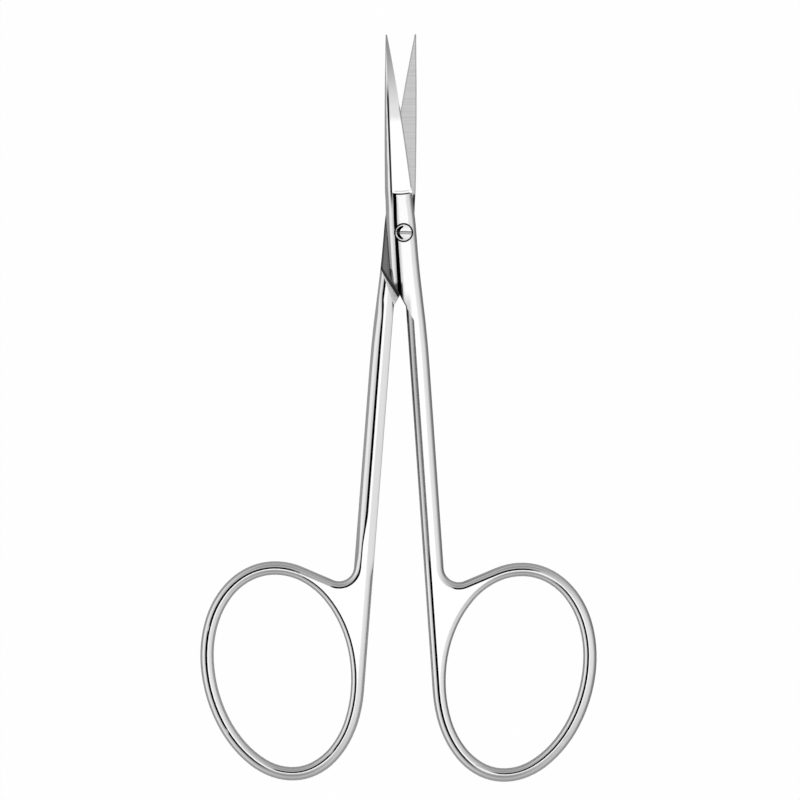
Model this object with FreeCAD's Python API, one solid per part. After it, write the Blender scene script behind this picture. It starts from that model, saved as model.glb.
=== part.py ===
import FreeCAD, Part
import math
import os

# Ophthalmic scissors: two lapped halves with finger rings, held by one slotted pivot screw.
# Lengths in millimetres, angles in degrees. X runs to the right, Y towards the blade tips and Z up.
# A half is drawn as the front one, closed, with the scissors' centre line at x = 0.
# It is then turned open about the pivot, which becomes the origin, with the table at z = 0.

# Joint and pose
REST_OPENING = 8.4        # angle between the halves as they lie
JOINT_THICKNESS = 3.6     # both halves together at the screw
LAP_GAP = 0.04            # running gap between the two lapped faces
CLOSED_GAP = 0.20         # gap left between the two shanks when the tips meet
PIVOT_OFFSET = 0.53       # the screw stands right of the centre line
JOINT_NARROW = 2.06       # centre line to a half's blade-back side at the joint
JOINT_WIDE = 2.50         # centre line to a half's shank side at the joint
JOINT_TOP = 6.6           # pivot up to where the joint's body hands over to the blade
JOINT_ROUNDING = 1.7      # rounding along the blade-back side of the joint

# Lap and shoulder, where a half steps from one to its full thickness
SHOULDER_TOP = 6.3        # pivot down to where the lap's end leaves the side of the half
KNEE_DEPTH = 10.4         # pivot down to where it turns along the shank
KNEE_REACH = 0.34         # how far the lap passes the centre line at the knee
SHOULDER_END = 11.3       # pivot down to where it meets the inner edge of the shank
SHOULDER_GAP = 0.16       # gap between a lap's end and the other half's shoulder when closed
MOUTH_ANGLE = 50.0        # slope of the shoulder's corner on its way out of the side

# Shank and finger ring
SHANK_WIDTH = 3.0
TAPER_TOP = 21.0          # pivot down to where the shank starts to thin
TAPER_LENGTH = 27.0       # from there to where it is as thin as the ring
RING_WIDTH = 2.05         # of the ring's bar, seen from above
RING_THICKNESS = 2.6
RING_LENGTH = 29.86       # of the finger opening, along its long axis
RING_BREADTH = 20.80      # of the finger opening, across its long axis
RING_TILT = 14.4          # long axis of the opening, top leaning outwards
RING_EGG = 0.045          # how much broader the opening is towards its top
RING_DEPTH = 68.6         # pivot down to the middle of the opening
CROTCH_RISE = 16.7        # middle of the opening up to the centre of the crotch arc
CROTCH_RADIUS = 2.3       # inside corner between shank and ring
EDGE_RADIUS = 1.1         # rounding along the outer edges
HOLE_RADIUS = 0.85        # rounding along the edges of the finger opening

# Blade
BLADE_LENGTH = 30.6       # pivot to tip
ROOT_NARROW = 1.88        # centre line to the blade's back at its root
ROOT_WIDE = 2.26          # centre line to the cutting edge at its root
TIP_WIDTH = 0.22
TIP_HEIGHT = 0.50
TIP_ROUNDING = 0.08
BLADE_BULGE = 0.20        # how far back and edge bow out from straight lines
FACET_END = 6.1           # pivot up to the end of the ground facet
FACET_LAND = 0.08         # height of the steel left at the cutting edge
FACET_ANGLE = 25.0        # slope of the ground facet
FACET_BACK = 1.0          # steel left between the blade's back and the facet, at the facet's end
FACET_CORNER = 0.55       # corner of the facet, seen from above
FACET_HOLLOW = 0.25       # how far the wheel dips below a straight line along the facet's end

# Pivot screw
SCREW_RADIUS = 0.90
BORE_CLEARANCE = 0.05     # the front half turns on the screw with this gap all round
HEAD_RADIUS = 1.24
HEAD_RIM = 0.25           # height of the head's straight rim, above its cone
HEAD_CROWN = 0.10         # crown of the head above its rim
HEAD_DROP = 0.10          # from the joint's face down to the head's crown
SEAT_GAP = 0.05           # between the head's cone and its seat
SEAT_MARGIN = 0.20        # the countersink is this much wider than the head
SLOT_WIDTH = 0.50
SLOT_DEPTH = 0.30
SLOT_ANGLE = -2.0         # the slot as the screw was left

LAP_HEIGHT = JOINT_THICKNESS / 2
INNER_X = CLOSED_GAP / 2
OUTER_X = INNER_X + SHANK_WIDTH
REACH = 200.0             # longer than the scissors, for cutting tools
OVERCUT = 1.0             # cutting tools stand out this far
RING_SPANS = 9            # pairs of arcs that draw the ring's outside, and its opening
HALVINGS = 60             # steps of each numeric solution
TOUCHING = 1e-3           # points closer than this are on the same line
HEAD_TOP = JOINT_THICKNESS - HEAD_DROP - HEAD_CROWN
HEAD_BOTTOM = HEAD_TOP - HEAD_RIM


def vec(x, y, z=0.0):
    """A point or a direction."""
    return FreeCAD.Vector(x, y, z)


DOWN = vec(0, -1)


def line(first, last):
    """A straight edge."""
    return Part.LineSegment(first, last).toShape()


def tangent_arc(start, corner, end):
    """The arc that leaves its start towards a corner, and comes to its end from there."""
    middle = (start + end) / 2
    lean = (end - start).Length / (corner - start).Length / 2
    crown = middle + (corner - middle) * lean / (1 + lean)
    if (crown - middle).Length < TOUCHING:
        return line(start, end)
    return Part.Arc(start, crown, end).toShape()


def smooth(stations):
    """Pairs of arcs, each tangent to the next, through points with a direction at each."""
    edges = []
    for (start, way), (end, last_way) in zip(stations, stations[1:]):
        chord = end - start
        along = chord.dot(way + last_way)
        turn = 2 * (1 - way.dot(last_way))
        reach = chord.dot(chord) / (along + math.sqrt(along ** 2 + turn * chord.dot(chord)))
        corner = start + way * reach
        last_corner = end - last_way * reach
        joint = (corner + last_corner) / 2
        edges += [tangent_arc(start, corner, joint), tangent_arc(joint, last_corner, end)]
    return edges


def solve(function, low, high):
    """The value between low and high at which a function changes sign."""
    rising = function(high) > function(low)
    for _ in range(HALVINGS):
        middle = (low + high) / 2
        if (function(middle) > 0) == rising:
            high = middle
        else:
            low = middle
    return (low + high) / 2


def ring_station(angle, offset):
    """Point and direction of the egg-shaped finger opening, or of its parallel outside it."""
    half_breadth = RING_BREADTH / 2
    half_length = RING_LENGTH / 2
    x = half_breadth * math.cos(angle) * (1 + RING_EGG * math.sin(angle))
    y = half_length * math.sin(angle)
    way = vec(
        half_breadth * (RING_EGG * math.cos(2 * angle) - math.sin(angle)),
        half_length * math.cos(angle),
    ).normalize()
    point = vec(x, y) + vec(way.y, -way.x) * offset
    leaning = FreeCAD.Rotation(vec(0, 0, 1), -RING_TILT)
    return leaning.multVec(point), leaning.multVec(way)


# The ring's outside touches the line of the shank's inner edge, and the web's edge is tangent to it.
TOUCH = solve(lambda angle: ring_station(angle, RING_WIDTH)[1].x, math.pi * 0.8, math.pi * 1.4)
RING_CENTER = vec(INNER_X - ring_station(TOUCH, RING_WIDTH)[0].x, -RING_DEPTH)
CROTCH_CENTER = vec(OUTER_X + CROTCH_RADIUS, CROTCH_RISE - RING_DEPTH)


def web_miss(angle):
    """How far the ring's tangent passes below the crotch arc."""
    point, way = ring_station(angle, RING_WIDTH)
    apart = CROTCH_CENTER - RING_CENTER - point
    return way.y * apart.x - way.x * apart.y - CROTCH_RADIUS


WEB = solve(web_miss, math.pi * 0.4, math.pi * 0.8)


def ring_arcs(offset, last):
    """Arcs along the opening or a parallel of it, from where the shank touches round to an angle."""
    stations = []
    for step in range(RING_SPANS + 1):
        point, way = ring_station(TOUCH + (last - TOUCH) * step / RING_SPANS, offset)
        stations.append((RING_CENTER + point, way))
    return stations


def lap_end():
    """The line along which a lap ends, from the side of the half to its inner edge."""
    return [
        vec(-JOINT_NARROW, -SHOULDER_TOP),
        vec(-KNEE_REACH, -KNEE_DEPTH),
        vec(INNER_X, -SHOULDER_END),
    ]


def grip_outline():
    """Shank and ring from above, with the shank carried on up the wide side of the joint."""
    ring = ring_arcs(RING_WIDTH, WEB + 2 * math.pi)
    touch = ring[0][0]
    web_end, way = ring[-1]
    arc_end = CROTCH_CENTER + vec(-way.y, way.x) * CROTCH_RADIUS
    arc_middle = CROTCH_CENTER + vec(-way.y - 1, way.x).normalize() * CROTCH_RADIUS
    arc_start = CROTCH_CENTER - vec(CROTCH_RADIUS, 0)
    shank_top = vec(OUTER_X, -TAPER_TOP)
    joint_side = vec(JOINT_WIDE, 0)
    root = vec(ROOT_WIDE, JOINT_TOP)
    inner_top = vec(INNER_X - EDGE_RADIUS / 2, JOINT_TOP)
    inner_low = vec(INNER_X, -SHOULDER_TOP)
    return Part.Wire(
        smooth([(inner_top, DOWN), (inner_low, DOWN)])
        + [line(inner_low, touch)]
        + smooth(ring)
        + [line(web_end, arc_end), Part.Arc(arc_end, arc_middle, arc_start).toShape()]
        + [line(arc_start, shank_top)]
        + smooth([(shank_top, -DOWN), (joint_side, -DOWN), (root, -DOWN)])
        + [line(root, inner_top)]
    )


def joint_block():
    """The upper half of the joint on its narrow side, rounded, and cut off where the lap ends."""
    root = vec(-ROOT_NARROW, JOINT_TOP)
    side = vec(-JOINT_NARROW, 0)
    foot = vec(-JOINT_NARROW, -TAPER_TOP)
    across = vec(INNER_X + EDGE_RADIUS, 0)
    side_edges = smooth([(root, DOWN), (side, DOWN)]) + [line(side, foot)]
    corners = [foot, across + foot - side, across + vec(0, JOINT_TOP), root]
    ends = [line(first, last) for first, last in zip(corners, corners[1:])]
    block = slab(Part.Wire(side_edges + ends), LAP_HEIGHT + LAP_GAP / 2, JOINT_THICKNESS)
    sides = edges_along(block, Part.Wire(side_edges))
    upper = [edge for edge in sides if edge.BoundBox.ZMin > LAP_HEIGHT + LAP_GAP]
    block = block.makeFillet(JOINT_ROUNDING, upper)
    corner, knee, end = lap_end()
    before = corner + (corner - knee)
    beyond = knee + (end - knee).normalize() * REACH
    return block.cut(slab(Part.makePolygon([
        before, knee, beyond, vec(-REACH, beyond.y), vec(-REACH, before.y), before,
    ]), 0, JOINT_THICKNESS + OVERCUT))


def finger_opening():
    """The egg-shaped opening, as one closed loop."""
    return Part.Wire(smooth(ring_arcs(0, TOUCH + 2 * math.pi)))


def side_profile():
    """The closed outline of joint, shank and ring from the side, in the YZ plane."""
    edges = []
    corners = []
    for side in (-0.5, 0.5):
        joint = LAP_HEIGHT + side * JOINT_THICKNESS
        ring = LAP_HEIGHT + side * RING_THICKNESS
        first = vec(0, JOINT_TOP + OVERCUT, joint)
        taper = vec(0, -TAPER_TOP, joint)
        thin = vec(0, -TAPER_TOP - TAPER_LENGTH, ring)
        last = vec(0, -REACH, ring)
        edges += [line(first, taper)] + smooth([(taper, DOWN), (thin, DOWN)]) + [line(thin, last)]
        corners.append((first, last))
    (low_first, low_last), (high_first, high_last) = corners
    edges += [line(low_first, high_first), line(low_last, high_last)]
    return Part.Wire(Part.__sortEdges__(edges))


def edges_along(solid, wire):
    """The edges of a solid that lie straight above or below an outline."""
    found = []
    for edge in solid.Edges:
        middle = edge.valueAt((edge.FirstParameter + edge.LastParameter) / 2)
        level = edge.BoundBox.ZLength < edge.Length / 2
        if level and wire.distToShape(Part.Vertex(vec(middle.x, middle.y)))[0] < TOUCHING:
            found.append(edge)
    return found


def slab(profile, low, high):
    """A prism on a plan outline between two heights."""
    prism = Part.Face(profile).extrude(vec(0, 0, high - low))
    prism.translate(vec(0, 0, low))
    return prism


def grip():
    """Shank and ring at full thickness, with rounded edges."""
    outline = grip_outline()
    opening = finger_opening()
    side = Part.Face(side_profile()).extrude(vec(REACH, 0))
    side.translate(vec(-REACH / 2, 0))
    body = slab(outline, 0, JOINT_THICKNESS).common(side).Solids[0]
    body = body.makeFillet(EDGE_RADIUS, edges_along(body, Part.Wire(outline.Edges[:-1])))
    body = body.cut(slab(opening, -OVERCUT, JOINT_THICKNESS + OVERCUT))
    return body.makeFillet(HOLE_RADIUS, edges_along(body, opening)).Solids[0]


def lap_space():
    """What is cut away under the lap, up to the half's own shoulder."""
    corner, knee, end = [vec(SHOULDER_GAP - point.x, point.y) for point in lap_end()]
    mouth = corner + vec(JOINT_WIDE, JOINT_WIDE * math.tan(math.radians(MOUTH_ANGLE)))
    return slab(Part.makePolygon([
        corner,
        knee,
        end,
        vec(-REACH, end.y),
        vec(-REACH, REACH),
        vec(REACH, REACH),
        vec(REACH, mouth.y),
        mouth,
        corner,
    ]), -OVERCUT, LAP_HEIGHT + LAP_GAP / 2)


def blade_section(y, back, edge, height, back_radius, edge_radius):
    """The blade's section before grinding: flat below, with both upper edges rounded."""
    low = LAP_HEIGHT + LAP_GAP / 2
    high = LAP_HEIGHT + height
    points = [
        vec(back, y, low),
        vec(back, y, high - back_radius),
        vec(back + back_radius, y, high),
        vec(edge - edge_radius, y, high),
        vec(edge, y, high - edge_radius),
        vec(edge, y, low),
    ]
    return Part.Wire([
        line(points[0], points[1]),
        tangent_arc(points[1], vec(back, y, high), points[2]),
        line(points[2], points[3]),
        tangent_arc(points[3], vec(edge, y, high), points[4]),
        line(points[4], points[5]),
        line(points[5], points[0]),
    ])


def blade_at(share, root, tip, bulge=0.0):
    """A size between its values at the blade's root and tip, with a bulge that fades at both."""
    return root + (tip - root) * share + 4 * bulge * share * (1 - share)


def blade():
    """The unground blade, from the joint to its tip."""
    sections = []
    for share in (0, 0.5, 1):
        sections.append(blade_section(
            blade_at(share, JOINT_TOP, BLADE_LENGTH),
            blade_at(share, -ROOT_NARROW, -TIP_WIDTH / 2, -BLADE_BULGE / 2),
            blade_at(share, ROOT_WIDE, TIP_WIDTH / 2, BLADE_BULGE),
            blade_at(share, LAP_HEIGHT, TIP_HEIGHT),
            blade_at(share, JOINT_ROUNDING, TIP_ROUNDING),
            blade_at(share, EDGE_RADIUS, TIP_ROUNDING),
        ))
    return Part.makeLoft(sections, True, False)


def facet_space():
    """What the grinding wheel takes away above the ground facet."""
    share = (FACET_END - JOINT_TOP) / (BLADE_LENGTH - JOINT_TOP)
    edge_root = vec(blade_at(share, ROOT_WIDE, TIP_WIDTH / 2) + BLADE_BULGE, FACET_END)
    edge_tip = vec(TIP_WIDTH / 2 + BLADE_BULGE, BLADE_LENGTH)
    ridge_root = vec(blade_at(share, -ROOT_NARROW, -TIP_WIDTH / 2) + FACET_BACK, FACET_END)
    ridge_tip = vec(-TIP_WIDTH / 2, BLADE_LENGTH)
    ridge = (ridge_tip - ridge_root).normalize()
    beyond = ridge_tip + ridge * REACH
    heel = vec(edge_root.x + FACET_BACK, FACET_END + FACET_HOLLOW)
    toe = ridge_root + vec(FACET_CORNER, 0)
    dip = (heel + toe) / 2 - vec(0, FACET_HOLLOW)
    footprint = Part.Wire([
        line(vec(REACH, heel.y), heel),
        Part.Arc(heel, dip, toe).toShape(),
        tangent_arc(toe, ridge_root, ridge_root + ridge * FACET_CORNER),
        line(ridge_root + ridge * FACET_CORNER, beyond),
        line(beyond, vec(REACH, beyond.y)),
        line(vec(REACH, beyond.y), vec(REACH, heel.y)),
    ])
    wheel = slab(footprint, 0, JOINT_THICKNESS + OVERCUT)
    along = (edge_tip - edge_root).normalize()
    above = Part.makeBox(2 * REACH, 2 * REACH, REACH, vec(-REACH, -REACH, 0))
    above.rotate(vec(0, 0), vec(0, 1), FACET_ANGLE)
    above.rotate(vec(0, 0), vec(0, 0, 1), math.degrees(math.atan2(-along.x, along.y)))
    above.translate(edge_root + vec(0, 0, LAP_HEIGHT + FACET_LAND))
    return wheel.common(above)


def half():
    """One whole half, drawn as the front one, closed, about the scissors' centre line."""
    body = grip().cut(lap_space())
    body = body.fuse([joint_block(), blade()]).removeSplitter()
    return body.cut(facet_space()).removeSplitter().Solids[0]


def seat():
    """The screw's bore and countersink, about the pivot."""
    slope = HEAD_RADIUS - HEAD_BOTTOM + SEAT_GAP * math.sqrt(2)
    bore = SCREW_RADIUS + BORE_CLEARANCE
    wide = HEAD_RADIUS + SEAT_MARGIN
    return turned([
        (0, -OVERCUT),
        (bore, -OVERCUT),
        (bore, bore - slope),
        (wide, wide - slope),
        (wide, JOINT_THICKNESS + OVERCUT),
        (0, JOINT_THICKNESS + OVERCUT),
    ])


def turned(points):
    """A solid of revolution about the pivot from a half section of radius and height."""
    corners = [vec(radius, 0, height) for radius, height in points]
    section = Part.Face(Part.makePolygon(corners + corners[:1]))
    return section.revolve(vec(0, 0), vec(0, 0, 1), 360)


def screw():
    """The pivot screw: riveted tail, shank, cone, rim, crown and driver slot."""
    blank = turned([
        (0, 0),
        (SCREW_RADIUS, 0),
        (SCREW_RADIUS, HEAD_BOTTOM - HEAD_RADIUS + SCREW_RADIUS),
        (HEAD_RADIUS, HEAD_BOTTOM),
        (HEAD_RADIUS, HEAD_TOP),
        (0, HEAD_TOP),
    ])
    ball = (HEAD_RADIUS ** 2 + HEAD_CROWN ** 2) / (2 * HEAD_CROWN)
    crown = Part.makeSphere(ball, vec(0, 0, HEAD_TOP + HEAD_CROWN - ball))
    cap = crown.common(Part.makeCylinder(HEAD_RADIUS, HEAD_CROWN * 2, vec(0, 0, HEAD_TOP)))
    slot = Part.makeBox(
        4 * HEAD_RADIUS, SLOT_WIDTH, OVERCUT,
        vec(-2 * HEAD_RADIUS, -SLOT_WIDTH / 2, HEAD_TOP + HEAD_CROWN - SLOT_DEPTH),
    )
    slot.rotate(vec(0, 0), vec(0, 0, 1), SLOT_ANGLE)
    return blank.fuse(cap).removeSplitter().cut(slot)


def opened(shape, angle):
    """A half moved from the centre line to the pivot and turned open about it."""
    shape.translate(vec(-PIVOT_OFFSET, 0))
    shape.rotate(vec(0, 0), vec(0, 0, 1), angle)
    return shape


def main():
    """Build the pieces and write each to its own file."""
    front = opened(half(), REST_OPENING / 2).cut(seat())
    rear = half()
    rear.rotate(vec(0, 0, LAP_HEIGHT), vec(0, 1), 180)
    thread = Part.makeCylinder(SCREW_RADIUS, JOINT_THICKNESS, vec(0, 0, 0))
    rear = opened(rear, -REST_OPENING / 2).cut(thread)
    os.makedirs("parts", exist_ok=True)
    pieces = {"front_half": front, "rear_half": rear, "pivot_screw": screw()}
    for name, piece in pieces.items():
        solid = piece.Solids[0]
        print(name, len(piece.Solids), solid.isValid(), round(solid.Volume, 2))
        solid.exportStep("parts/" + name + ".step")


main()
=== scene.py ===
"""Looks of a pair of ophthalmic scissors: polished steel halves, ground laps and a slotted screw.

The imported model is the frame. Lengths are in metres, X to the right, Y to the blade tips, Z up.
The finishes are placed by the same sizes that shape the solids, in millimetres.
"""

import logging
import math
from dataclasses import dataclass
from enum import Enum

import bpy
from mathutils import Euler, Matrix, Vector


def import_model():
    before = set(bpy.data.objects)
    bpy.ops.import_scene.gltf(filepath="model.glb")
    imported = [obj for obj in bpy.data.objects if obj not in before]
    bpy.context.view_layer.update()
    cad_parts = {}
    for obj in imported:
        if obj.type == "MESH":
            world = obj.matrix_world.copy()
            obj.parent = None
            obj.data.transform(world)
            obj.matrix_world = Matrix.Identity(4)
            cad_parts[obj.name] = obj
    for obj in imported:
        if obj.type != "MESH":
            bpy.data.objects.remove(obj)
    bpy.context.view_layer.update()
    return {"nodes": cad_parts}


log = logging.getLogger("scissors")

MM = 0.001
RIGHTWARD = Vector((1.0, 0.0, 0.0))
FORWARD = Vector((0.0, 1.0, 0.0))
UP = Vector((0.0, 0.0, 1.0))
HALF_TURN = 180.0
TINY = 1e-6
CLOUD_LOW = 0.3
CLOUD_HIGH = 0.7


class Side(Enum):
    """Which half of the scissors a finish is for."""

    FRONT = "front_half"
    REAR = "rear_half"

    @property
    def sign(self) -> float:
        """One for the front half, minus one for the rear half, which is the same half turned over."""
        return 1.0 if self is Side.FRONT else -1.0


@dataclass
class Socket:
    """A shader output that can be added, multiplied and compared like a number."""

    sheet: "NodeSheet"
    out: "bpy.types.NodeSocket | None"

    def _math(self, operation: str, *values: "Socket | float") -> "Socket":
        """Join values through one Math node."""
        return self.sheet.add("ShaderNodeMath", values, operation=operation)

    def _vector(self, operation: str, *values: "Socket | tuple", output: int | str = 0) -> "Socket":
        """Join vectors through one Vector Math node."""
        return self.sheet.add("ShaderNodeVectorMath", values, output, operation=operation)

    def __add__(self, other: "Socket | float") -> "Socket":
        """Sum of two values."""
        return self._math("ADD", self, other)

    def __radd__(self, other: float) -> "Socket":
        """Sum of a number and this value."""
        return self._math("ADD", other, self)

    def __sub__(self, other: "Socket | float") -> "Socket":
        """Difference of two values."""
        return self._math("SUBTRACT", self, other)

    def __rsub__(self, other: float) -> "Socket":
        """A number less this value."""
        return self._math("SUBTRACT", other, self)

    def __mul__(self, other: "Socket | float") -> "Socket":
        """Product of two values."""
        return self._math("MULTIPLY", self, other)

    def __rmul__(self, other: float) -> "Socket":
        """Product of a number and this value."""
        return self._math("MULTIPLY", other, self)

    def __truediv__(self, other: "Socket | float") -> "Socket":
        """Quotient of two values."""
        return self._math("DIVIDE", self, other)

    def __rtruediv__(self, other: float) -> "Socket":
        """A number divided by this value."""
        return self._math("DIVIDE", other, self)

    def __neg__(self) -> "Socket":
        """This value with the other sign."""
        return self._math("MULTIPLY", self, -1.0)

    def __abs__(self) -> "Socket":
        """Size without sign."""
        return self._math("ABSOLUTE", self)

    def above(self, other: "Socket | float") -> "Socket":
        """One where this value is greater than the other, else nought."""
        return self._math("GREATER_THAN", self, other)

    def below(self, other: "Socket | float") -> "Socket":
        """One where this value is less than the other, else nought."""
        return self._math("LESS_THAN", self, other)

    def largest(self, other: "Socket | float") -> "Socket":
        """The greater of two values."""
        return self._math("MAXIMUM", self, other)

    def smallest(self, other: "Socket | float") -> "Socket":
        """The lesser of two values."""
        return self._math("MINIMUM", self, other)

    def angle_to(self, other: "Socket | float") -> "Socket":
        """Angle of the point (other, this) about the origin, in radians."""
        return self._math("ARCTAN2", self, other)

    def arccosine(self) -> "Socket":
        """Angle whose cosine this is, in radians."""
        return self._math("ARCCOSINE", self)

    def dot(self, direction: Vector) -> "Socket":
        """Share of this vector along a direction."""
        return self._vector("DOT_PRODUCT", self, tuple(direction), output="Value")

    def length(self) -> "Socket":
        """Length of this vector."""
        return self._vector("LENGTH", self, output="Value")

    def scaled(self, factors: tuple[float, float, float]) -> "Socket":
        """This vector, stretched along each axis."""
        return self._vector("MULTIPLY", self, factors)

    def joined(self, other: "Socket") -> "Socket":
        """Sum of two vectors."""
        return self._vector("ADD", self, other)

    def leaned(self, push: "Socket") -> "Socket":
        """This direction with a push added, brought back to a length of one."""
        return self._vector("NORMALIZE", self.joined(push))

    def ramp(self, low: float, high: float, first: float = 0.0, last: float = 1.0) -> "Socket":
        """Smooth change from one value to another between two limits.

        Args:
            low: Input at which the change starts.
            high: Input at which it ends.
            first: Value before the change.
            last: Value after it.

        Returns:
            The changed value.
        """
        values = (self, low, high, first, last)
        return self.sheet.add("ShaderNodeMapRange", values, interpolation_type="SMOOTHSTEP")

    def slope(self, low: float, high: float, first: float, last: float) -> "Socket":
        """Straight change from one value to another between two limits, and level outside them.

        Args:
            low: Input at which the change starts.
            high: Input at which it ends, on either side of low.
            first: Value before the change.
            last: Value after it.

        Returns:
            The changed value.
        """
        return self.sheet.add("ShaderNodeMapRange", (self, low, high, first, last))


class NodeSheet:
    """One node tree, with a single method that makes every node in it."""

    def __init__(self, tree: bpy.types.NodeTree) -> None:
        """Start on an empty sheet."""
        tree.nodes.clear()
        self.tree = tree

    def add(
        self,
        kind: str,
        values: "tuple | dict" = (),
        output: int | str = 0,
        stops: tuple[tuple[float, float], ...] = (),
        **settings: object,
    ) -> Socket:
        """Make a node, set it and link it.

        Args:
            kind: Blender's name of the node.
            values: Numbers, vectors, colours or sockets for its inputs, in order or by name.
            output: Which output to hand back.
            stops: Places from 0 to 1 on a node's ramp and the grey levels there, in rising order.
            **settings: Properties of the node.

        Returns:
            The chosen output.
        """
        node = self.tree.nodes.new(kind)
        for name, value in settings.items():
            setattr(node, name, value)
        if stops:
            # A new ramp has two stops, and the first one is kept.
            elements = node.color_ramp.elements
            elements.remove(elements[1])
            elements[0].position = stops[0][0]
            elements[0].color = grey(stops[0][1])
            for place, level in stops[1:]:
                elements.new(place).color = grey(level)
        pairs = values.items() if isinstance(values, dict) else enumerate(values)
        for key, value in pairs:
            if isinstance(value, Socket):
                self.tree.links.new(value.out, node.inputs[key])
            else:
                node.inputs[key].default_value = value
        return Socket(self, node.outputs[output] if node.outputs else None)

    def blend(self, share: Socket, first: "Socket | tuple", second: "Socket | tuple") -> Socket:
        """Mix two colours.

        Args:
            share: How much of the second colour shows.
            first: The colour where the share is nought.
            second: The colour where the share is one.

        Returns:
            The mixed colour.
        """
        # The Mix node has several sockets of the same name, so they go by number.
        return self.add("ShaderNodeMix", {0: share, 6: first, 7: second}, 2, data_type="RGBA")

    def choose(self, share: Socket, first: "Socket | float", second: "Socket | float") -> Socket:
        """Mix two plain values.

        Args:
            share: How much of the second value counts.
            first: The value where the share is nought.
            second: The value where the share is one.

        Returns:
            The mixed value.
        """
        return self.add("ShaderNodeMix", {0: share, 2: first, 3: second}, 0, data_type="FLOAT")

    def neutral(self, level: Socket) -> Socket:
        """A grey whose level varies."""
        return self.add("ShaderNodeCombineXYZ", (level, level, level))

    def along(self, direction: Vector, amount: Socket) -> Socket:
        """A vector along a direction, whose length varies."""
        return self.add("ShaderNodeVectorMath", {0: tuple(direction), 3: amount}, operation="SCALE")

    def clouds(self, place: Socket, grain: tuple[float, float, float]) -> Socket:
        """Cloudy values, mostly between CLOUD_LOW and CLOUD_HIGH.

        Args:
            place: The point, in metres.
            grain: How many clouds go to a metre along each axis.

        Returns:
            The cloud's value at the point.
        """
        return self.add("ShaderNodeTexNoise", {"Vector": place.scaled(grain), "Scale": 1.0})


def grey(level: float) -> tuple[float, float, float, float]:
    """A neutral colour of a given linear level."""
    return (level, level, level, 1.0)


def from_axis(place: Socket) -> Socket:
    """Distance of a point from the pivot's axis, in millimetres."""
    return place.scaled((1.0 / MM, 1.0 / MM, 0.0)).length()


@dataclass(frozen=True)
class Band:
    """A stretch between two limits, with soft sides."""

    low: float
    high: float
    soft: float

    def at(self, value: Socket) -> Socket:
        """One between the limits, nought outside them."""
        rising = value.ramp(self.low - self.soft, self.low)
        return rising * value.ramp(self.high, self.high + self.soft, 1.0, 0.0)


@dataclass(frozen=True)
class Fade:
    """A smooth change of level between two limits."""

    low: float
    high: float
    first: float
    last: float

    def at(self, value: Socket) -> Socket:
        """The level at a value of the input."""
        return value.ramp(self.low, self.high, self.first, self.last)


@dataclass(frozen=True)
class HalfShape:
    """The sizes of a half that its finishes are placed by, in millimetres and degrees."""

    lap_height: float = 1.8
    lap_gap: float = 0.04
    pivot_offset: float = 0.53
    rest_opening: float = 8.4
    inner_x: float = 0.1
    outer_x: float = 3.1
    joint_narrow: float = 2.06
    joint_top: float = 6.6
    shoulder_top: float = 6.3
    knee_depth: float = 10.4
    knee_reach: float = 0.34
    shoulder_end: float = 11.3
    blade_length: float = 30.6
    root_narrow: float = 1.88
    root_wide: float = 2.26
    tip_width: float = 0.22
    blade_bulge: float = 0.20
    facet_end: float = 6.1
    facet_land: float = 0.08
    facet_angle: float = 25.0
    facet_back: float = 1.0
    facet_hollow: float = 0.25

    @property
    def blade_run(self) -> float:
        """Length of the blade beyond the joint."""
        return self.blade_length - self.joint_top

    @property
    def heel_share(self) -> float:
        """Where the facet ends, as a share of the blade from its root: just below nought."""
        return (self.facet_end - self.joint_top) / self.blade_run

    def outer_line(self) -> tuple[Vector, Vector]:
        """Heel and tip of the straight line, outside the bowed edge, that the facet is ground from."""
        tip = self.tip_width / 2
        heel = self.root_wide + (tip - self.root_wide) * self.heel_share + self.blade_bulge
        return Vector((heel, self.facet_end)), Vector((tip + self.blade_bulge, self.blade_length))

    def ridge_line(self) -> tuple[Vector, Vector]:
        """Heel and tip of the line on which the facet meets the back of the blade."""
        tip = self.tip_width / 2
        heel = self.facet_back - self.root_narrow + (self.root_narrow - tip) * self.heel_share
        return Vector((heel, self.facet_end)), Vector((-tip, self.blade_length))


@dataclass
class HalfPlace:
    """Where a point of a half lies, in millimetres, as the half is drawn closed in its source."""

    x: Socket
    y: Socket
    z: Socket
    across: Vector

    @classmethod
    def of(cls, place: Socket, side: Side, shape: HalfShape) -> "HalfPlace":
        """Turn a point of the open scissors back to the closed drawing.

        Args:
            place: The point, in metres.
            side: Which half it belongs to.
            shape: The sizes of a half.

        Returns:
            The point's place in the drawing.
        """
        angle = math.radians(shape.rest_opening / 2)
        across = Vector((math.cos(angle) * side.sign, math.sin(angle), 0.0))
        along = Vector((-math.sin(angle) * side.sign, math.cos(angle), 0.0))
        x = place.dot(across / MM) + shape.pivot_offset * side.sign
        return cls(x, place.dot(along / MM), place.dot(UP / MM), across)

    def aside(self, line: tuple[Vector, Vector]) -> Socket:
        """How far right of a line on plan the point is: the cross product with the line's direction."""
        start, end = line
        run = (end - start).normalized()
        return (self.x - start.x) * run.y - (self.y - start.y) * run.x


@dataclass(frozen=True)
class Finish:
    """A steel surface: how bright, how rough and how streaked it is."""

    colour: float
    roughness: float
    spread: float
    grain: tuple[float, float, float]

    def roughness_at(self, sheet: NodeSheet, place: Socket) -> Socket:
        """Roughness, varied along the grain."""
        rougher = self.roughness + self.spread
        return sheet.clouds(place, self.grain).ramp(CLOUD_LOW, CLOUD_HIGH, self.roughness, rougher)


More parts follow.
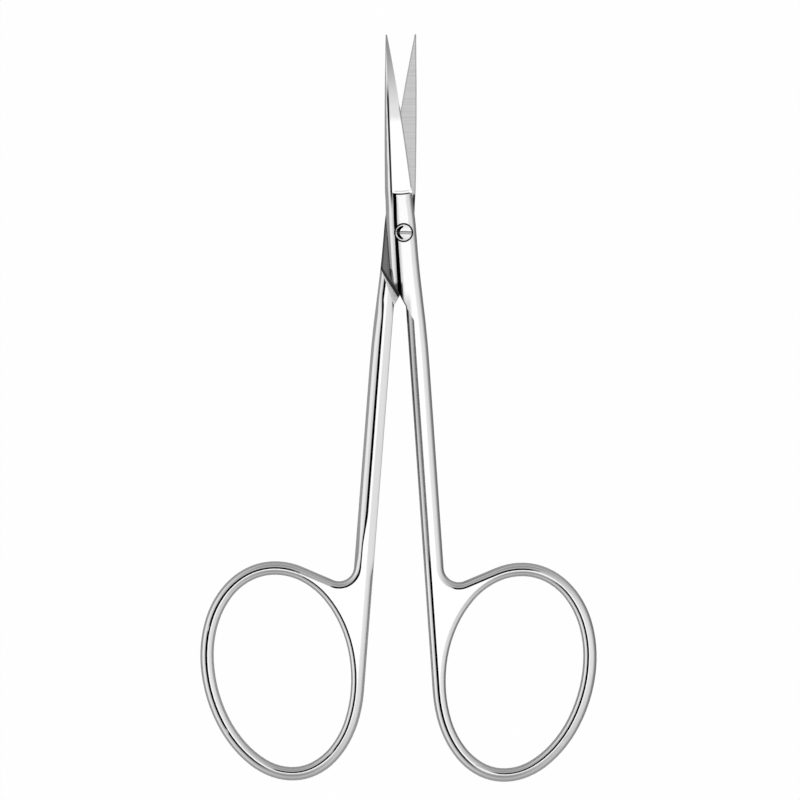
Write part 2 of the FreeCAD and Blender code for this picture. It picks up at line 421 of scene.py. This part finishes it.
POLISHED = Finish(colour=0.62, roughness=0.04, spread=0.03, grain=(900.0, 900.0, 900.0))
GROUND = Finish(colour=1.0, roughness=0.30, spread=0.06, grain=(300.0, 9000.0, 300.0))
LAPPED = Finish(colour=0.87, roughness=0.38, spread=0.06, grain=(300.0, 9000.0, 300.0))
TURNED = Finish(colour=0.78, roughness=0.07, spread=0.04, grain=(2500.0, 2500.0, 2500.0))


@dataclass(frozen=True)
class BladeMarks:
    """Marks of grinding on a blade, with painted shade along the facet's ridge and heel and along the
    cutting edge, in millimetres of the closed drawing, and how dark they are.

    A mark has a band or a fade across it, and a run along the half. The heel is the facet's lower
    end, an arc that the wheel leaves, and its painted shade lies just above it.
    """

    facet_grey: Fade = Fade(17.0, 30.0, GROUND.colour, 0.50)
    facet_step: Fade = Fade(16.8, 18.2, 0.0, 0.22)
    ridge: Band = Band(-0.13, 0.11, 0.07)
    ridge_run: Band = Band(6.5, 20.5, 3.5)
    ridge_dark: float = 0.97
    heel_middle: float = 0.7
    heel_half: float = 1.9
    heel_drop: float = 0.12
    heel: Band = Band(-0.05, 0.15, 0.05)
    heel_run: Band = Band(-0.55, 1.75, 0.3)
    heel_dark: float = 0.97
    shade: Band = Band(-0.45, -0.34, 0.08)
    shade_run: Band = Band(-0.3, 1.75, 0.3)
    shade_dark: float = 0.3
    edge: Fade = Fade(0.10, 0.26, 0.68, 0.0)
    edge_run: Band = Band(7.2, 19.0, 1.0)
    back_border: Fade = Fade(0.10, 0.24, 0.62, 1.0)
    edge_border: Fade = Fade(0.08, 0.24, 0.70, 1.0)
    streak: Fade = Fade(0.35, 0.65, 0.94, 1.04)
    streak_grain: tuple[float, float, float] = (120.0, 5000.0, 120.0)


@dataclass(frozen=True)
class JointMarks:
    """Marks on the lapped joint, in millimetres, and how bright or dark they are: the dark ones are painted
    shade and painted shadow.

    At rest the front shoulder stands over the rear lap on a straight line, which is given by the
    direction across it, towards the screw, and its distance from the pivot. On the far side of that
    line a pale strip of the rear half shows, and along the line lies a painted shadow.
    """

    lap: float = 0.27
    lap_end: Fade = Fade(5.2, 6.4, 0.0, 1.0)
    rest_across: tuple[float, float, float] = (0.84, 0.541, 0.0)
    rest_distance: float = 5.92
    strip: Fade = Fade(-0.20, -0.08, 0.80, 0.06)
    lap_start: Fade = Fade(0.2, 0.4, 0.0, 0.21)
    rim: Fade = Fade(2.16, 2.32, 0.0, 0.6)
    rim_start: float = 0.2
    narrow_side: Fade = Fade(-2.0, -1.92, 0.55, 0.0)
    narrow_run: Band = Band(-6.5, 0.0, 1.0)
    corner: Fade = Fade(-1.6, -1.45, 0.85, 0.0)
    corner_run: Band = Band(3.5, 5.9, 0.3)
    shoulder: Fade = Fade(0.12, 0.24, 0.85, 0.0)
    shoulder_run: Band = Band(-13.5, -8.0, 0.7)
    seat: Band = Band(1.36, 1.47, 0.03)
    seat_dark: float = 0.85
    screw_gap: Band = Band(1.0, 1.36, 0.02)
    gap_dark: float = 0.6
    seat_bottom: float = 2.0
    face: Band = Band(-0.42, -0.36, 0.6)
    face_run: Band = Band(-12.0, 5.2, 1.0)
    face_level: Fade = Fade(0.02, 0.04, 1.0, 0.0)
    face_dark: float = 0.4


@dataclass(frozen=True)
class ShankMarks:
    """Marks of polishing on a shank, and painted shade on its flanks and outer edge, in millimetres of the
    closed drawing.

    A tilt is the share of the surface's normal that points across the shank, away from the other
    half. The crown is the rounding of the shank's face, as a lean of the normal: it rises from the
    outer edge to a top, falls to nought at a foot, and turns the other way from there to the fall.
    Towards the ring it is shifted outwards.
    """

    run: Band = Band(-49.0, -11.5, 3.0)
    flank: Band = Band(0.0, 0.62, 0.5)
    flank_dark: Fade = Fade(-46.0, -20.0, 0.15, 0.35)
    inward: Band = Band(-0.42, -0.03, 0.02)
    inward_roughness: float = 0.27
    outward: Fade = Fade(0.5, 0.95, 0.0, 0.5)
    crown_run: Band = Band(-49.5, -13.5, 4.0)
    crown_shift: Fade = Fade(-49.0, -43.0, 0.42, 0.0)
    crown_top: float = 2.02
    crown_foot: float = 1.53
    crown_lean: float = 0.40
    fall: float = 0.6
    fall_lean: float = -0.16
    upper: Fade = Fade(0.05, 0.35, 0.0, 1.0)
    flat: Band = Band(-0.3, 0.8, 0.15)
    flat_lift: float = 1.2


@dataclass
class HalfSteel:
    """Steel of one half: mirror-polished, with its facet and lap face ground.

    A point within near of a ground face's plane lies on it. The facet begins a margin below its own
    end, and the wheel's lines a margin above the lap.
    """

    side: Side
    shape: HalfShape = HalfShape()
    blade: BladeMarks = BladeMarks()
    joint: JointMarks = JointMarks()
    shank: ShankMarks = ShankMarks()
    near: float = 0.02
    facet_margin: float = 0.3
    lap_margin: float = 0.1

    def material(self) -> bpy.types.Material:
        """Make the material.

        Returns:
            The finished material.
        """
        material = bpy.data.materials.new(self.side.value + "_steel")
        material.use_nodes = True
        sheet = NodeSheet(material.node_tree)
        place = sheet.add("ShaderNodeTexCoord", output="Object")
        half = HalfPlace.of(place, self.side, self.shape)
        facet = self._facet(half)
        lap = self._lap(half)
        colour = sheet.choose(facet, POLISHED.colour, self._facet_colour(half))
        colour = sheet.choose(lap, colour, self._lap_colour(sheet, half, place))
        # Painted shade: dark lines along the blade, at the shoulder and on the joint's edges.
        colour = colour * (1.0 - self._painted_lines(half))
        roughness = POLISHED.roughness_at(sheet, place)
        if self.side is Side.FRONT:
            tilt = sheet.add("ShaderNodeTexCoord", output="Normal").dot(half.across)
            # Painted shade in the countersink, on the shank's inner flank, on its outer edge and on the
            # joint's face.
            colour = colour * (1.0 - self._painted_seat_shade(half, place))
            colour = colour * (1.0 - self._painted_flank_shade(half)) * (1.0 - self._painted_edge_shade(half, tilt))
            inward = self.shank.inward.at(tilt) * self.shank.run.at(half.y)
            roughness = roughness + inward * self.shank.inward_roughness
        roughness = sheet.choose(facet, roughness, GROUND.roughness_at(sheet, place))
        roughness = sheet.choose(lap, roughness, LAPPED.roughness_at(sheet, place))
        values = {"Base Color": sheet.neutral(colour), "Metallic": 1.0, "Roughness": roughness}
        if self.side is Side.REAR:
            values["Normal"] = self._crown(sheet, half)
        shader = sheet.add("ShaderNodeBsdfPrincipled", values)
        sheet.add("ShaderNodeOutputMaterial", {"Surface": shader})
        return material

    def _share(self, half: HalfPlace) -> Socket:
        """How far along the blade a point is, from its root to its tip."""
        return (half.y - self.shape.joint_top) / self.shape.blade_run

    def _bulge(self, share: Socket) -> Socket:
        """How far the edge bows out: a parabola, nought at both ends and the full bulge half way."""
        return share * (1.0 - share) * 4.0 * self.shape.blade_bulge

    def _from_edge(self, half: HalfPlace) -> Socket:
        """How far inside the cutting edge a point is: the edge is a straight line and its bulge."""
        shape = self.shape
        share = self._share(half)
        line = share * (shape.tip_width / 2 - shape.root_wide) + shape.root_wide
        return line + self._bulge(share) - half.x

    def _from_back(self, half: HalfPlace) -> Socket:
        """How far inside the blade's back a point is: the back bulges half as much as the edge."""
        shape = self.shape
        share = self._share(half)
        line = share * (shape.root_narrow - shape.tip_width / 2) - shape.root_narrow
        return half.x - (line - self._bulge(share) / 2)

    def _height(self, half: HalfPlace) -> Socket:
        """Height above the joint's middle, towards the half's own outer face."""
        return (half.z - self.shape.lap_height) * self.side.sign

    def _facet(self, half: HalfPlace) -> Socket:
        """One on the ground facet, a plane that leans inwards from the outer line."""
        shape = self.shape
        slope = math.radians(shape.facet_angle)
        height = self._height(half) - shape.facet_land
        above = half.aside(shape.outer_line()) * math.sin(slope) + height * math.cos(slope)
        return abs(above).below(self.near) * half.y.above(shape.facet_end - self.facet_margin)

    def _lap(self, half: HalfPlace) -> Socket:
        """One on the lap face, which is also the inner face of the blade."""
        level = self.shape.lap_height + self.side.sign * self.shape.lap_gap / 2
        return abs(half.z - level).below(self.near)

    def _facet_colour(self, half: HalfPlace) -> Socket:
        """Bright at the joint, a step down at the middle and greyer towards the tip."""
        return self.blade.facet_grey.at(half.y) - self.blade.facet_step.at(half.y)

    def _lap_colour(self, sheet: NodeSheet, half: HalfPlace, place: Socket) -> Socket:
        """Satin along the blade, with fine lines across it and darker borders, and painted shade in the
        joint.

        Args:
            sheet: Where the nodes go.
            half: The point's place in the drawing.
            place: The point, in metres.

        Returns:
            The level of grey.
        """
        marks = self.blade
        border = marks.back_border.at(self._from_back(half)) * marks.edge_border.at(self._from_edge(half))
        streaks = marks.streak.at(sheet.clouds(place, marks.streak_grain))
        joint = self._rear_joint_shade(half, place) if self.side is Side.REAR else self.joint.lap
        return sheet.choose(self.joint.lap_end.at(half.y), joint, streaks * LAPPED.colour * border)

    def _rear_joint_shade(self, half: HalfPlace, place: Socket) -> Socket:
        """Level of the rear joint's lap, on both sides of the line under the front shoulder, with shade
        painted over it.

        Args:
            half: The point's place in the drawing.
            place: The point, in metres.

        Returns:
            The level of the pale strip, then of the painted shadow line, then of the lap in painted shade
            with its darker rim.
        """
        marks = self.joint
        inward = place.dot(Vector(marks.rest_across) / MM) + marks.rest_distance
        level = marks.strip.at(inward) + marks.lap_start.at(inward)
        return level * (1.0 - marks.rim.at(half.x) * inward.above(marks.rim_start))

    def _painted_lines(self, half: HalfPlace) -> Socket:
        """How dark the painted shade lines on the blade and the joint are."""
        joint = self._front_painted_shade(half) if self.side is Side.FRONT else self._rear_painted_shade(half)
        return self._wheel_painted_shade(half).largest(joint)

    def _wheel_painted_shade(self, half: HalfPlace) -> Socket:
        """Painted shade where the wheel has cut in beside the facet and along its heel, standing for the
        dark reflection of the rounded ridge and heel.
        """
        shape = self.shape
        marks = self.blade
        ridge = marks.ridge.at(half.aside(shape.ridge_line())) * marks.ridge_run.at(half.y)
        middle = (half.x - marks.heel_middle) / marks.heel_half
        below = middle * middle * shape.facet_hollow + shape.facet_end - marks.heel_drop - half.y
        heel = marks.heel.at(below) * marks.heel_run.at(half.x)
        shade = marks.shade.at(below) * marks.shade_run.at(half.x)
        lines = (ridge * marks.ridge_dark).largest(heel * marks.heel_dark)
        lines = lines.largest(shade * marks.shade_dark)
        return lines * self._height(half).above(self.lap_margin)

    def _front_painted_shade(self, half: HalfPlace) -> Socket:
        """Painted shade on the front half: a painted shadow along its cutting edge, and painted shade at
        its shoulder and on its narrow side.
        """
        shape = self.shape
        marks = self.joint
        narrow = marks.narrow_side.at(half.x) * marks.narrow_run.at(half.y)
        edge = self.blade.edge.at(self._from_edge(half)) * self.blade.edge_run.at(half.y)
        upper = half.y.slope(-shape.knee_depth, -shape.shoulder_top, -shape.knee_reach, -shape.joint_narrow)
        lower = half.y.slope(-shape.shoulder_end, -shape.knee_depth, shape.inner_x, -shape.knee_reach)
        shoulder = marks.shoulder.at(half.x - upper.largest(lower)) * marks.shoulder_run.at(half.y)
        return narrow.largest(edge).largest(shoulder)

    def _rear_painted_shade(self, half: HalfPlace) -> Socket:
        """Painted shade on the rear half's narrow side, below the root of its blade."""
        return self.joint.corner.at(half.x) * self.joint.corner_run.at(half.y)

    def _painted_seat_shade(self, half: HalfPlace, place: Socket) -> Socket:
        """Painted shade in the countersink and in the gap round the screw."""
        marks = self.joint
        radius = from_axis(place)
        seat = marks.seat.at(radius) * marks.seat_dark
        gap = marks.screw_gap.at(radius) * marks.gap_dark
        return seat.largest(gap) * half.z.above(marks.seat_bottom)

    def _painted_flank_shade(self, half: HalfPlace) -> Socket:
        """How much darker the shank is painted, as shade, on the side that faces the other half."""
        marks = self.shank
        return marks.flank.at(half.x) * marks.run.at(half.y) * marks.flank_dark.at(half.y)

    def _painted_edge_shade(self, half: HalfPlace, tilt: Socket) -> Socket:
        """Painted shade on the outer edge, where the normal turns outwards, and on the joint's face beside
        its rounded side.
        """
        marks = self.joint
        face = marks.face.at(half.x) * marks.face_level.at(abs(tilt)) * marks.face_run.at(half.y)
        return self.shank.outward.at(tilt).largest(face * marks.face_dark)

    def _crown(self, sheet: NodeSheet, half: HalfPlace) -> Socket:
        """Normal of the shank's face, which is rounded over by hand from edge to edge.

        Args:
            sheet: Where the nodes go.
            half: The point's place in the drawing.

        Returns:
            The normal, leaned across the shank, and lifted where the inner edge is flatter.
        """
        marks = self.shank
        normal = sheet.add("ShaderNodeNewGeometry", output="Normal")
        moved = half.x - marks.crown_shift.at(half.y)
        rising = moved.slope(self.shape.outer_x, marks.crown_top, 0.0, marks.crown_lean)
        falling = moved.slope(marks.crown_top, marks.crown_foot, marks.crown_lean, 0.0)
        beyond = half.x.slope(marks.crown_foot, marks.fall, 0.0, marks.fall_lean)
        here = marks.crown_run.at(half.y) * marks.upper.at(normal.dot(UP))
        lean = sheet.along(half.across, (rising.smallest(falling) + beyond) * here)
        lift = sheet.along(UP, marks.flat.at(half.x) * here * marks.flat_lift)
        return normal.leaned(lean.joined(lift))


@dataclass
class ScrewSteel:
    """Turned steel of the pivot screw, dull in its slot, with painted shade along the slot's walls and a
    painted dark reflection, a crescent, on the left of its head.

    The leans are shares of the normal, to the right and ahead. The crescent lies outside a disc whose
    centre is off to the right, and whose soft edge is given by its radius squared.
    """

    slot_floor: float = 3.2
    slot_margin: float = 0.05
    slot_angle: float = -2.0
    slot_upper: Fade = Fade(0.05, 0.20, 0.60, 0.18)
    slot_lower: Fade = Fade(-0.24, -0.15, 0.5, 1.0)
    rim: Fade = Fade(1.12, 1.15, 0.0, 1.0)
    dull: float = 0.3
    lean: float = 0.12
    slot_lean: float = 0.035
    left_lean: float = -0.13
    lean_ahead: float = -0.03
    left: Fade = Fade(-0.25, 0.10, 1.0, 0.0)
    crescent_reflection: Fade = Fade(0.0, 1.0, 1.0, 0.15)
    disc_centre: float = 0.3
    disc_edge: Fade = Fade(0.68, 0.86, 0.0, 1.0)
    head_edge: Fade = Fade(1.02, 1.10, 1.0, 0.0)

    def material(self) -> bpy.types.Material:
        """Make the material.

        Returns:
            The finished material.
        """
        material = bpy.data.materials.new("screw_steel")
        material.use_nodes = True
        sheet = NodeSheet(material.node_tree)
        place = sheet.add("ShaderNodeTexCoord", output="Object")
        normal = sheet.add("ShaderNodeNewGeometry", output="Normal")
        angle = math.radians(self.slot_angle)
        across = place.dot(Vector((-math.sin(angle), math.cos(angle), 0.0)) / MM)
        radius = from_axis(place)
        floor = place.dot(UP / MM).below(self.slot_floor + self.slot_margin)
        crescent = self._crescent(place.dot(RIGHTWARD / MM), across, radius)
        # Painted shade along the slot's upper and lower walls.
        slot = self.slot_upper.at(across) * self.slot_lower.at(across)
        # The crescent is a painted dark reflection.
        colour = sheet.choose(floor, TURNED.colour, slot) * self.crescent_reflection.at(crescent)
        dull = self.rim.at(radius).largest(floor) * self.dull
        lean = sheet.choose(floor, self.lean, self.slot_lean)
        lean = sheet.choose(crescent, lean, self.left_lean)
        shader = sheet.add("ShaderNodeBsdfPrincipled", {
            "Base Color": sheet.neutral(colour),
            "Metallic": 1.0,
            "Roughness": TURNED.roughness_at(sheet, place) + dull,
            "Normal": normal.leaned(sheet.add("ShaderNodeCombineXYZ", (lean, self.lean_ahead, 0.0))),
        })
        sheet.add("ShaderNodeOutputMaterial", {"Surface": shader})
        return material

    def _crescent(self, right: Socket, across: Socket, radius: Socket) -> Socket:
        """One on the left of the head, outside the disc.

        Args:
            right: Distance to the right of the axis, in millimetres.
            across: Distance across the slot.
            radius: Distance from the axis.

        Returns:
            The share.
        """
        off = right - self.disc_centre
        beyond = self.disc_edge.at(off * off + across * across)
        return beyond * self.head_edge.at(radius) * self.left.at(right)


@dataclass(frozen=True)
class TentWall:
    """Levels of the tent on one side, by degrees from straight up."""

    stops: tuple[tuple[float, float], ...]

    def at(self, sheet: NodeSheet, tilt: Socket) -> Socket:
        """Level where the angle from straight up is a share of half a turn."""
        stops = tuple((angle / HALF_TURN, level) for angle, level in self.stops)
        return sheet.add("ShaderNodeValToRGB", (tilt,), stops=stops)


RIGHT = TentWall((
    (0.0, 1.68), (7.0, 1.6), (13.0, 1.3), (30.0, 1.2),
    (50.0, 1.16), (63.0, 1.02), (83.0, 0.72), (90.0, 0.55),
))
LEFT = TentWall((
    (0.0, 1.68), (36.0, 0.6), (46.0, 0.95), (56.0, 1.15), (67.0, 1.35), (78.0, 1.35), (90.0, 1.1),
))
AHEAD = TentWall(((0.0, 1.68), (22.0, 0.42), (38.0, 0.73), (55.0, 0.38), (76.0, 0.62), (90.0, 0.75)))
BEHIND = TentWall((
    (0.0, 1.68), (6.0, 1.6), (12.0, 0.95), (28.0, 0.35), (46.0, 0.55), (64.0, 0.75), (84.0, 0.6),
))


@dataclass
class Sky:
    """A direction in the world, taken apart for the tent."""

    x: Socket
    y: Socket
    across: Socket
    tilt: Socket

    @classmethod
    def of(cls, direction: Socket) -> "Sky":
        """Take a direction apart.

        Args:
            direction: Where the light comes from.

        Returns:
            Its shares to the right and ahead, the sum of their squares, kept above nought, and its angle
            from straight up as a share of half a turn.
        """
        x = direction.dot(RIGHTWARD)
        y = direction.dot(FORWARD)
        return cls(x, y, (x * x + y * y).largest(TINY), direction.dot(UP).arccosine() / math.pi)

    def towards(self, share: Socket) -> Socket:
        """Squared cosine of the turn from one side: its share squared, and nought on the far side."""
        facing = share.largest(0.0)
        return facing * facing / self.across


@dataclass
class Studio:
    """A white tent over a pale table, with a dark slit above and to the left of the camera.

    The slit's near and far sides are in degrees from straight up, to the left and ahead, and its ends
    in degrees round the camera, from the right by way of ahead. The table shows the camera its white
    paper, and metal mostly its grey.
    """

    floor_size: float = 3.0
    floor_grey: float = 0.6
    slit_near: float = 3.2
    slit_near_ahead: float = 4.6
    slit_far: float = 36.0
    slit_far_ahead: float = 24.0
    slit_from: float = 60.0
    slit_to: float = 255.0
    slit_soft: float = 20.0
    near_side: Fade = Fade(-0.4, 0.6, 0.0, 1.0)
    far_side: Fade = Fade(-1.0, 1.0, 1.0, 0.0)
    slit_level: Fade = Fade(0.0, 1.0, 1.0, 0.0)
    seen: float = 0.985
    in_metal: float = 0.1

    def build(self) -> None:
        """Make the world and the floor."""
        self._world()
        self._floor()

    def _tent(self, sheet: NodeSheet, sky: Sky) -> Socket:
        """Level of the tent: the sum of its four walls, each by how much the direction is towards it."""
        walls = ((RIGHT, sky.x), (LEFT, -sky.x), (AHEAD, sky.y), (BEHIND, -sky.y))
        return sum(wall.at(sheet, sky.tilt) * sky.towards(share) for wall, share in walls)

    def _slit(self, sky: Sky) -> Socket:
        """One in the dark slit, which is widest on the left.

        Args:
            sky: The direction.

        Returns:
            The share.
        """
        degrees = sky.tilt * HALF_TURN
        turn = sky.y.angle_to(-sky.x) * math.degrees(1.0)
        left = sky.towards(-sky.x)
        near = left * (self.slit_near - self.slit_near_ahead) + self.slit_near_ahead
        far = left * (self.slit_far - self.slit_far_ahead) + self.slit_far_ahead
        first = HALF_TURN - self.slit_from
        last = HALF_TURN - self.slit_to
        ends = turn.ramp(first - self.slit_soft, first, 1.0, 0.0) * turn.ramp(last, last + self.slit_soft)
        return self.near_side.at(degrees - near) * self.far_side.at(degrees - far) * ends

    def _world(self) -> None:
        """Paint the tent on the world, and plain white where the camera looks past the table."""
        world = bpy.data.worlds.new("tent")
        bpy.context.scene.world = world
        world.use_nodes = True
        sheet = NodeSheet(world.node_tree)
        sky = Sky.of(sheet.add("ShaderNodeTexCoord", output="Generated"))
        level = self._tent(sheet, sky) * self.slit_level.at(self._slit(sky))
        path = sheet.add("ShaderNodeLightPath", output="Is Camera Ray")
        colour = sheet.blend(path, sheet.neutral(level), grey(1.0))
        sheet.add("ShaderNodeOutputWorld", (sheet.add("ShaderNodeBackground", (colour, 1.0)),))

    def _floor(self) -> None:
        """Lay the table and give it its pale finish."""
        half = self.floor_size / 2
        mesh = bpy.data.meshes.new("table")
        corners = [(-half, -half, 0.0), (half, -half, 0.0), (half, half, 0.0), (-half, half, 0.0)]
        mesh.from_pydata(corners, [], [(0, 1, 2, 3)])
        floor = bpy.data.objects.new("table", mesh)
        bpy.context.collection.objects.link(floor)
        material = bpy.data.materials.new("table_white")
        material.use_nodes = True
        sheet = NodeSheet(material.node_tree)
        camera = sheet.add("ShaderNodeLightPath", output="Is Camera Ray")
        glossy = sheet.add("ShaderNodeLightPath", output="Is Glossy Ray")
        through = sheet.add("ShaderNodeLightPath", output="Is Transmission Ray")
        white = sheet.add("ShaderNodeEmission", (grey(1.0), 1.0))
        paper = sheet.add("ShaderNodeBsdfDiffuse", (grey(self.floor_grey),))
        share = camera * self.seen + glossy * self.in_metal + through
        mixed = sheet.add("ShaderNodeMixShader", (share, paper, white))
        sheet.add("ShaderNodeOutputMaterial", {"Surface": mixed})
        mesh.materials.append(material)


@dataclass
class View:
    """The camera, straight above the scissors."""

    height: float = 0.9
    frame_width: float = 123.3 * MM
    centre: tuple[float, float] = (-0.45 * MM, -25.7 * MM)
    roll: float = 0.22
    sensor: float = 36.0
    clip_start: float = 0.01
    clip_end: float = 10.0

    def build(self) -> None:
        """Make the camera and set it as the scene's."""
        data = bpy.data.cameras.new("camera")
        data.sensor_width = self.sensor
        data.lens = self.sensor * self.height / self.frame_width
        data.clip_start = self.clip_start
        data.clip_end = self.clip_end
        camera = bpy.data.objects.new("camera", data)
        camera.location = (self.centre[0], self.centre[1], self.height)
        camera.rotation_euler = Euler((0.0, 0.0, math.radians(self.roll)))
        bpy.context.collection.objects.link(camera)
        bpy.context.scene.camera = camera


def main() -> None:
    """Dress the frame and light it."""
    logging.basicConfig(level=logging.INFO, format="%(name)s: %(message)s")
    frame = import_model()
    bpy.context.scene.view_settings.view_transform = "Standard"
    nodes = frame["nodes"]
    finishes = {side.value: HalfSteel(side) for side in Side}
    finishes["pivot_screw"] = ScrewSteel()
    for name, finish in finishes.items():
        nodes[name].data.materials[0] = finish.material()
        log.info("dressed %s", name)
    Studio().build()
    log.info("lit the table")
    View().build()


if __name__ == "__main__":
    main()
